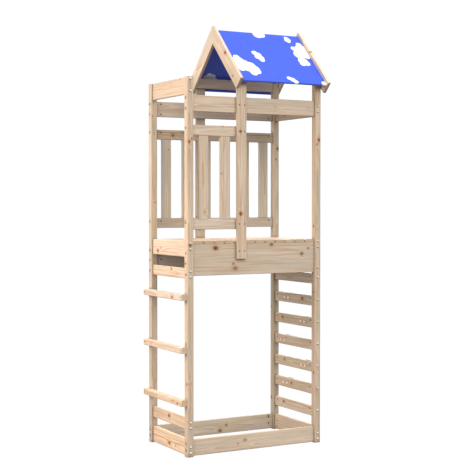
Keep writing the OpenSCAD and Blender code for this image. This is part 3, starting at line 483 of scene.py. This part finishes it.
# turned beech dowels: even pinkish tan with short dark flecks
beech = {"pale": "#d8b48c", "fleck": "#b98d63", "length": 4.0, "width": 0.6, "rough": (0.5, 0.65)}   # mm
beechDowel, tree, shader = newFinish("turnedBeech")
spot = addNode(tree, "TexCoord")
thin, tall = 1000 / beech["width"], 1000 / beech["length"]
flecks = addNode(tree, "VectorMath", {0: spot.outputs["Object"], 1: (thin, thin, tall)}, operation="MULTIPLY")
fleck = addNode(tree, "TexNoise", {"Vector": flecks, "Scale": 1.0, "Detail": 2.0})
amount = addNode(tree, "MapRange", {0: fleck, 1: 0.5, 2: 0.75, 3: 0.0, 4: 0.8})
tone = addNode(tree, "Mix", {0: amount, 6: beech["pale"], 7: beech["fleck"]}, data_type="RGBA")
rough = addNode(tree, "MapRange", {0: fleck, 3: beech["rough"][0], 4: beech["rough"][1]})
fillInputs(tree, shader, {"Base Color": tone, "Roughness": rough})
dress("slat_dowels", beechDowel)
print("steel and beech done")


# faces of a grid of points, rows by columns; wrapping columns closes it round
def gridFaces(rows, columns, wrap=False):
    i, j = np.meshgrid(np.arange(rows - 1), np.arange(columns if wrap else columns - 1), indexing="ij")
    k = (j + 1) % columns
    corners = [i * columns + j, i * columns + k, (i + 1) * columns + k, (i + 1) * columns + j]
    return np.stack(corners, -1).reshape(-1, 4)


# makes an object from points and faces, smooth shaded
def meshPiece(name, points, faces):
    mesh = bpy.data.meshes.new(name)
    mesh.from_pydata(points.tolist(), [], faces)
    mesh.polygons.foreach_set("use_smooth", np.ones(len(faces), bool))
    mesh.update()
    piece = bpy.data.objects.new(name, mesh)
    bpy.context.collection.objects.link(piece)
    return piece


# roof cloth: one sheet over the ridge beam, stretched to a rod in a sewn hem at each eave; sizes in mm
cloth = {
    "thick": 1.4, "rodRadius": 4.0, "hemRadius": 5.2, "flap": 24.5, "ridgeRadius": 2.2,
    "hemTurn": 200,                 # degrees that the hem goes round its rod
    "step": 4.2,                    # grid spacing
    "sag": 2.6,                     # dip of the cloth between ridge and hem
    "pucker": 0.5,                  # height of the small waves where the seam pulls
    "puckerGap": 47.0,              # from one small wave to the next
    "puckerReach": 0.10,            # share of the slope on which they fade
    "blue": "#4464ea", "blueShade": "#3c5ad8", "white": "#f2f3f4", "through": "#e4efff", "thread": "#2b3fae",
    "weave": 1.5,                   # thread spacing; the real one is 0.5 and would not show
    "slub": (40.0, 2.5),            # length and width of a thicker stretch of thread
    "hemSeam": 23.0, "sideSeam": 9.0,          # from the edges to the lines of stitches
    "stitch": 4.0, "stitchShare": 0.7, "threadWide": (0.8, 0.4),
    "rough": (0.78, 0.68), "relief": 0.3,
}

# clouds as groups of round lobes: x from the cover's left edge, distance down from the ridge (back slope negative),
# radius, all in mm
clouds = [
    [(46, 248, 21), (22, 280, 26), (58, 272, 24), (40, 310, 36), (78, 302, 32), (112, 322, 34), (126, 352, 36),
     (40, 352, 24), (84, 346, 32), (108, 388, 24), (138, 372, 24)],
    [(189, 196, 20), (205, 214, 25), (196, 232, 20), (213, 240, 24), (216, 258, 18)],
    [(281, 14, 32), (308, 15, 24), (322, 2, 12), (280, -22, 26), (304, -14, 24)],
    [(477, 28, 15), (486, 42, 18), (474, 48, 16), (483, 58, 14)],
    [(545, 84, 20), (491, 126, 20), (545, 124, 40), (508, 182, 40), (549, 178, 34), (507, 244, 34), (556, 198, 20),
     (492, 272, 18), (524, 262, 24)],
    [(332, 419, 16), (352, 432, 19), (366, 450, 17)],
    [(566, 452, 22), (574, 474, 24)],
    [(60, -90, 26), (92, -104, 32), (128, -92, 24), (104, -76, 24)],
    [(228, -236, 20), (256, -252, 30), (292, -246, 26), (270, -226, 24), (318, -256, 16)],
    [(430, -120, 20), (458, -132, 30), (494, -126, 26), (470, -108, 22)],
    [(82, -341, 18), (66, -362, 20), (108, -352, 22), (132, -377, 20), (96, -378, 30)],
    [(400, -386, 20), (430, -398, 28), (462, -388, 22)],
    [(545, -300, 24), (520, -318, 26), (558, -334, 26)],
]


# profile in the y-z plane, one half: from the ridge arc down the slope, round the rod and back up the flap;
# arc = centre + radius * (sin, cos) of its angle, straight runs between, the other half is its mirror image
def roofCloth():
    rodLow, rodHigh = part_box("hem_rods")
    coverLow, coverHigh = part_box("roof_cover")
    unit = 1e-3
    normal, downhill = np.array([-1, 1]) / 2 ** 0.5, np.array([-1, -1]) / 2 ** 0.5   # front slope: off it and down it
    rod = np.array([rodLow.y + cloth["rodRadius"] * unit, (rodLow.z + rodHigh.z) / 2])
    hemR, ridgeR = cloth["hemRadius"] * unit, cloth["ridgeRadius"] * unit
    foot = rod + normal * hemR                                  # where the slope meets the hem's arc
    peak = np.array([0.0, foot[1] - foot[0]])                   # where the two slopes' planes meet
    ridgeMid = peak - np.array([0, ridgeR * 2 ** 0.5])
    head = ridgeMid + normal * ridgeR                           # where the ridge's arc ends
    slopeLen = float((foot - head) @ downhill)

    turn = np.linspace(0, math.pi / 4, 5)[:-1]
    ridgeOut = np.stack([-np.sin(turn), np.cos(turn)], -1)
    ridgePart = ridgeMid + ridgeR * ridgeOut
    run = np.linspace(0, slopeLen, int(slopeLen / unit / cloth["step"]))
    slopePart = head + run[:, None] * downhill
    bend = np.radians(np.linspace(0, cloth["hemTurn"], 18))[1:]
    hemPart = rod + hemR * (np.sin(bend)[:, None] * downhill + np.cos(bend)[:, None] * normal)
    back = np.linspace(0, cloth["flap"] * unit, 7)[1:, None]
    flapPart = hemPart[-1] + back * (math.cos(bend[-1]) * downhill - math.sin(bend[-1]) * normal)
    half = np.concatenate([ridgePart, slopePart, hemPart, flapPart])
    share = np.concatenate([0 * turn, run / slopeLen, np.ones(len(bend)), np.ones(len(back))])
    off = np.concatenate([ridgeOut, np.tile(normal, (len(run), 1)), np.zeros((len(bend) + len(back), 2))])
    down = np.concatenate([[0], np.cumsum(np.linalg.norm(np.diff(half, axis=0), axis=1))])

    mirror = np.array([-1, 1])
    profile = np.concatenate([half[::-1], (half * mirror)[1:]])
    offs = np.concatenate([off[::-1], (off * mirror)[1:]])
    shares = np.concatenate([share[::-1], share[1:]])
    down = np.concatenate([down[::-1], -down[1:]])              # front positive, back negative

    left, width = coverLow.x, coverHigh.x - coverLow.x
    x = np.linspace(0, width, int(width / unit / cloth["step"]) + 1)
    # dip = sag * sin(pi * share) with a slow ripple, pucker = short waves that fade up from the hem
    s, along = shares[:, None], x[None, :] / width
    ripple = 0.8 + 0.2 * np.sin(math.pi * along) + 0.12 * np.sin(11 * along + 5 * s)
    dip = cloth["sag"] * np.sin(math.pi * np.clip((s - 0.06) / 0.94, 0, 1)) * ripple
    waves = np.sin(2 * math.pi * x[None, :] / (cloth["puckerGap"] * unit) + 3 * s) * (s < 1)
    pucker = cloth["pucker"] * np.exp(-((1 - s) / cloth["puckerReach"]) ** 2) * waves
    move = (pucker * s - dip) * unit
    y = profile[:, :1] + offs[:, :1] * move
    z = profile[:, 1:] + offs[:, 1:] * move
    points = np.stack([np.broadcast_to(left + x, y.shape), y, z], -1).reshape(-1, 3)
    # columns run along x and rows from the front flap to the back one, so a face's normal points off the slope
    piece = meshPiece("roof_cloth", points, gridFaces(*y.shape).tolist())

    # flat places of the points in metres, from the ridge and the middle
    flat = np.stack(np.broadcast_arrays(x[None, :] - width / 2, down[:, None]), -1).reshape(-1, 2)
    loops = np.empty(len(piece.data.loops), np.int32)
    piece.data.loops.foreach_get("vertex_index", loops)
    piece.data.uv_layers.new(name="flatCloth").data.foreach_set("uv", flat[loops].ravel().astype(np.float32))
    # cloud = least distance over all lobes of (distance to its centre - its radius), in mm, below zero inside
    lobes = np.array([lobe for group in clouds for lobe in group], float)
    spots = (flat + np.array([width / 2, 0])) / unit
    gap = (np.linalg.norm(spots[:, None, :] - lobes[None, :, :2], axis=2) - lobes[:, 2]).min(1)
    piece.data.attributes.new("cloud", "FLOAT", "POINT").data.foreach_set("value", gap.astype(np.float32))

    wall = piece.modifiers.new("cloth", "SOLIDIFY")
    wall.thickness = cloth["thick"] * unit
    wall.offset = 0
    wall.use_even_offset = True
    return piece, width, float(down[0] - down[-1]), float(down[0])


roofCover, clothWidth, clothLength, clothHalf = roofCloth()
print("roof cloth", round(clothWidth, 3), "by", round(clothLength, 3), "m")

# printed polyester cloth: plain weave, dyed blue with bare white clouds, matt with a soft sheen, sewn with darker
# thread
printedCloth, tree, shader = newFinish("wovenPolyesterPrinted")
flat = addNode(tree, "UVMap", uv_map="flatCloth")
threads = addNode(tree, "VectorMath", {0: flat, 1: (2 * math.pi * 1000 / cloth["weave"],) * 3}, operation="MULTIPLY")
warp = addNode(tree, "SeparateXYZ", {0: threads})
over = addNode(tree, "Math", {0: warp.outputs[0]}, operation="SINE")
under = addNode(tree, "Math", {0: warp.outputs[1]}, operation="SINE")
knit = addNode(tree, "Math", {0: over, 1: under}, operation="MULTIPLY")
slub = addNode(tree, "VectorMath", {0: flat, 1: (1000 / cloth["slub"][0], 1000 / cloth["slub"][1], 0)},
               operation="MULTIPLY")
streak = addNode(tree, "TexNoise", {"Vector": slub, "Scale": 1.0, "Detail": 2.0})
shade = addNode(tree, "MapRange", {0: streak, 1: 0.3, 2: 0.7})
blue = addNode(tree, "Mix", {0: shade, 6: cloth["blue"], 7: cloth["blueShade"]}, data_type="RGBA")
puff = addNode(tree, "Attribute", attribute_name="cloud")
cloudShape = addNode(tree, "MapRange", {0: puff.outputs["Fac"], 1: 0.5, 2: -0.5}, interpolation_type="SMOOTHSTEP")
# on the underside the white is painted pale blue: painted light that comes through the blue cloth round it
side = addNode(tree, "SeparateXYZ", {0: addNode(tree, "TexCoord").outputs["Normal"]})
paintedLightMask = addNode(tree, "MapRange", {0: side.outputs[2], 1: 0.1, 2: -0.1})
bare = addNode(tree, "Mix", {0: paintedLightMask, 6: cloth["white"], 7: cloth["through"]}, data_type="RGBA")
dye = addNode(tree, "Mix", {0: cloudShape, 6: blue, 7: bare}, data_type="RGBA")
# seam = gap to the hem's or the side's line of stitches, which are dashes along it
fold = addNode(tree, "VectorMath", {0: flat}, operation="ABSOLUTE")
fold = addNode(tree, "SeparateXYZ", {0: fold})
hemAt = clothHalf - (cloth["flap"] + math.radians(cloth["hemTurn"]) * cloth["hemRadius"] + cloth["hemSeam"]) / 1000
sideAt = clothWidth / 2 - cloth["sideSeam"] / 1000
outer, core = (wide / 1000 for wide in cloth["threadWide"])
seams = []
for gapSide, line, dashSide in ((1, hemAt, 0), (0, sideAt, 1)):
    gap = addNode(tree, "Math", {0: fold.outputs[gapSide], 1: line}, operation="SUBTRACT")
    gap = addNode(tree, "Math", {0: gap}, operation="ABSOLUTE")
    dash = addNode(tree, "Math", {0: fold.outputs[dashSide], 1: 1000 / cloth["stitch"]}, operation="MULTIPLY")
    dash = addNode(tree, "Math", {0: dash}, operation="FRACT")
    dash = addNode(tree, "Math", {0: dash, 1: cloth["stitchShare"]}, operation="LESS_THAN")
    row = addNode(tree, "MapRange", {0: gap, 1: outer, 2: core}, interpolation_type="SMOOTHSTEP")
    seams.append(addNode(tree, "Math", {0: row, 1: dash}, operation="MULTIPLY"))
stitched = addNode(tree, "Math", {0: seams[0], 1: seams[1]}, operation="MAXIMUM")
dye = addNode(tree, "Mix", {0: stitched, 6: dye, 7: cloth["thread"]}, data_type="RGBA")
relief = addNode(tree, "Math", {0: stitched, 1: 2.0, 2: knit}, operation="MULTIPLY_ADD")
bump = addNode(tree, "Bump", {"Strength": 0.25, "Distance": cloth["relief"] / 1000, "Height": relief})
rough = addNode(tree, "MapRange", {0: knit, 1: -1.0, 2: 1.0, 3: cloth["rough"][0], 4: cloth["rough"][1]})
fillInputs(tree, shader, {"Base Color": dye, "Roughness": rough, "Normal": bump, "Sheen Weight": 0.06,
                          "Specular IOR Level": 0.3})
roofCover.data.materials.append(printedCloth)
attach(roofCover, "root")
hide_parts("roof_cover")


# climbing stones: lumps with a flat back on their board and two sunk bolt holes; sizes in mm
stone = {
    # y and z of the middles
    "places": [(89.25, 317.67), (-118.12, 451.33), (120.75, 585.0), (-110.25, 718.67), (78.75, 852.33)],
    "size": (45.0, 104.0, 62.0),    # off the board, along it, up it
    "boltGap": 44.0, "seat": 22.5, "hole": 6.8, "lip": 1.8,
    "crest": 0.20, "crestSize": (30, 19),      # share of the height that the crest adds, and how far it spreads
    "lumps": 0.035, "lumpSize": (8, 6),
    "rimWaves": ((3, 0.02), (5, 0.015)),       # waves round the rim and their depth
    "rows": 80, "columns": 168,
    "face": "#3a404d", "speck": "#282d37", "worn": "#575e6e", "grit": 1.8, "patch": 22.0, "relief": 0.8,
}


# a dome: with a the angle up from the edge and b the angle round, across = cos(a)^0.75 * a wavy superellipse of b,
# height = sin(a)^0.7 * a crest and lumps; inside a bolt's hole the height drops to the seat
def climbingStones():
    deep, wide, tall = np.array(stone["size"]) / (1, 2, 2)
    rows, columns, count = stone["rows"], stone["columns"], len(stone["places"])
    seed = np.random.default_rng(31)
    wave = seed.uniform(0, 2 * math.pi, (4, count, 1, 1))
    crestY, crestZ = seed.uniform(-20, 20, (count, 1, 1)), seed.uniform(-8, 8, (count, 1, 1))
    crestWide, crestTall = stone["crestSize"]
    lumpWide, lumpTall = stone["lumpSize"]

    def heights(y, z, a):
        peak = np.exp(-((y - crestY) / crestWide) ** 2 - ((z - crestZ) / crestTall) ** 2)
        crest = 1 - stone["crest"] + stone["crest"] * peak
        lumps = 1 - stone["lumps"] * (1 + np.sin(y / lumpWide + wave[0]) * np.cos(z / lumpTall + wave[1]))
        h = deep * np.sin(a) ** 0.7 * crest * lumps
        gap = np.hypot(np.abs(y) - stone["boltGap"] / 2, z)
        shut = np.clip((gap - stone["hole"]) / stone["lip"], 0, 1)
        return np.where(h > stone["seat"], stone["seat"] + (h - stone["seat"]) * shut ** 2 * (3 - 2 * shut), h)

    a = np.linspace(0, math.pi / 2, rows + 1)[None, :-1, None]
    b = np.linspace(0, 2 * math.pi, columns, endpoint=False)[None, None, :]
    (turnsA, deepA), (turnsB, deepB) = stone["rimWaves"]
    rim = 1 - deepA * (1 + np.sin(turnsA * b + wave[2])) - deepB * (1 + np.sin(turnsB * b + wave[3]))
    y = wide * rim * np.cos(a) ** 0.75 * np.sign(np.cos(b)) * np.abs(np.cos(b)) ** 0.8
    z = tall * rim * np.cos(a) ** 0.75 * np.sign(np.sin(b)) * np.abs(np.sin(b)) ** 0.8
    x = heights(y, z, a)
    flatZero = np.zeros((count, 1, 1))
    top = np.concatenate([heights(flatZero, flatZero, np.array(math.pi / 2)), flatZero, flatZero], -1)
    dome = np.stack([x, y, z], -1).reshape(count, -1, 3)
    points = np.concatenate([dome, top, 0 * top], 1)            # the last two are the poles of crest and back
    middles = np.array([(1000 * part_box("climbing_stones")[0].x, *place) for place in stone["places"]])
    points = (points + middles[:, None, :]) / 1000

    quads = gridFaces(rows, columns, wrap=True)[:, ::-1]
    ring, after = np.arange(columns), (np.arange(columns) + 1) % columns
    last = (rows - 1) * columns
    crown = np.stack([last + after, last + ring, np.full(columns, rows * columns)], -1)
    back = np.stack([ring, after, np.full(columns, rows * columns + 1)], -1)
    step = (np.arange(count) * (rows * columns + 2))[:, None, None]
    faces = (quads + step).reshape(-1, 4).tolist() + (np.concatenate([crown, back]) + step).reshape(-1, 3).tolist()
    piece = meshPiece("stone_set", points.reshape(-1, 3), faces)
    rise = np.concatenate([x.reshape(count, -1), top[:, 0, :1], 0 * top[:, 0, :1]], 1) / deep
    piece.data.attributes.new("rise", "FLOAT", "POINT").data.foreach_set("value", rise.ravel().astype(np.float32))
    shell = bmesh.new()
    shell.from_mesh(piece.data)
    bmesh.ops.recalc_face_normals(shell, faces=shell.faces)
    shell.to_mesh(piece.data)
    shell.free()
    return piece


stones = climbingStones()

# polyester resin cast with quartz sand: matt slate grey, gritty to the touch, rubbed paler where it is held
castResin, tree, shader = newFinish("sandCastResin")
spot = addNode(tree, "TexCoord")
grit = addNode(tree, "TexNoise", {"Vector": spot.outputs["Object"], "Scale": 1000 / stone["grit"], "Detail": 3.0})
patch = addNode(tree, "TexNoise", {"Vector": spot.outputs["Object"], "Scale": 1000 / stone["patch"], "Detail": 2.0})
dark = addNode(tree, "MapRange", {0: grit, 1: 0.5, 2: 0.68, 3: 0.0, 4: 0.8})
tone = addNode(tree, "Mix", {0: dark, 6: stone["face"], 7: stone["speck"]}, data_type="RGBA")
high = addNode(tree, "Attribute", attribute_name="rise")
rubbed = addNode(tree, "Math", {0: patch, 1: 0.5, 2: high.outputs["Fac"]}, operation="MULTIPLY_ADD")
rubbed = addNode(tree, "MapRange", {0: rubbed, 1: 0.85, 2: 1.3, 3: 0.0, 4: 0.75}, interpolation_type="SMOOTHSTEP")
tone = addNode(tree, "Mix", {0: rubbed, 6: tone, 7: stone["worn"]}, data_type="RGBA")
rough = addNode(tree, "Math", {0: rubbed, 1: -0.18, 2: 0.82}, operation="MULTIPLY_ADD")
bump = addNode(tree, "Bump", {"Strength": 0.5, "Distance": stone["relief"] / 1000, "Height": grit})
fillInputs(tree, shader, {"Base Color": tone, "Roughness": rough, "Normal": bump, "Specular IOR Level": 0.12})
stones.data.materials.append(castResin)
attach(stones, "root")
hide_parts("climbing_stones")
print("climbing stones:", len(stones.data.polygons), "faces")


# studio: a floor that is pale by its own even glow, a white surround that is dim from below, and soft lamps:
# two small warm ones near the left side, broad ones far in front, above and behind
studio = {
    "floor": "#333333", "fleck": "#3a3a3a", "glow": 0.98,
    "half": 9.0, "mottle": 0.5,     # m, half the floor's width and the size of a fleck on it
    "cool": "#f5f9ff", "surround": 1.1, "below": 0.08, "seen": 1.1,
    # place, point it faces, width and height, all in metres, power in watts, colour
    "lamps": {
        "keyLight": ((-2.3, 0, 2.0), (0, 0, 1.3), (1.4, 1.4), 34.0, "#ffecdc"),
        "lowLight": ((-2.2, -0.3, 0.45), (-0.45, 0, 0.4), (1.2, 0.7), 8.4, "#ffd4bc"),
        "frontLight": ((0.6, -7.2, 4.6), (0, 0, 1.2), (4.0, 3.0), 205.0, "#fff3e6"),
        "topLight": ((0, 0, 9.0), (0, 0, 1.4), (4.0, 4.0), 230.0, "#ffffff"),
        "backLight": ((3.4, 3.6, 2.6), (0, 0, 1.2), (3.0, 3.0), 130.0, "#fff3e6"),
    },
}
half = studio["half"]
floorMesh = bpy.data.meshes.new("floor")
floorMesh.from_pydata([(-half, -half, 0), (half, -half, 0), (half, half, 0), (-half, half, 0)], [], [(0, 1, 2, 3)])
floor = bpy.data.objects.new("floor", floorMesh)
bpy.context.collection.objects.link(floor)
floor.visible_diffuse = False    # white to the camera and in the bolts, but it throws no light up under the roof
paleFloor, tree, shader = newFinish("mattPaperFloor")
spot = addNode(tree, "TexCoord")
mottle = addNode(tree, "TexNoise", {"Vector": spot.outputs["Object"], "Scale": 1 / studio["mottle"], "Detail": 2.0})
tone = addNode(tree, "Mix", {0: mottle, 6: studio["floor"], 7: studio["fleck"]}, data_type="RGBA")
fillInputs(tree, shader, {"Base Color": tone, "Roughness": 0.9, "Specular IOR Level": 0.0,
                          "Emission Color": "#ffffff", "Emission Strength": studio["glow"]})
floorMesh.materials.append(paleFloor)

world = bpy.data.worlds.new("studio")
bpy.context.scene.world = world
world.use_nodes = True
sky = world.node_tree
ray = addNode(sky, "LightPath")
toward = addNode(sky, "SeparateXYZ", {0: addNode(sky, "TexCoord").outputs["Generated"]})
fill = addNode(sky, "MapRange", {0: toward.outputs[2], 1: -0.2, 2: 0.5, 3: studio["below"], 4: studio["surround"]},
               interpolation_type="SMOOTHSTEP")
strength = addNode(sky, "MapRange", {0: ray.outputs["Is Camera Ray"], 3: fill, 4: studio["seen"]})
fillInputs(sky, sky.nodes["Background"], {"Strength": strength, "Color": studio["cool"]})

for name, (place, target, size, power, color) in studio["lamps"].items():
    lamp = bpy.data.lights.new(name, "AREA")
    lamp.shape = "RECTANGLE"
    lamp.size, lamp.size_y = size
    lamp.energy = power
    lamp.color = hexColor(color)[:3]
    holder = bpy.data.objects.new(name, lamp)
    aim = (Vector(target) - Vector(place)).to_track_quat("-Z", "Y").to_matrix().to_4x4()
    holder.matrix_world = Matrix.Translation(place) @ aim
    bpy.context.collection.objects.link(holder)
bpy.context.scene.view_settings.view_transform = "Standard"
print("studio lit")
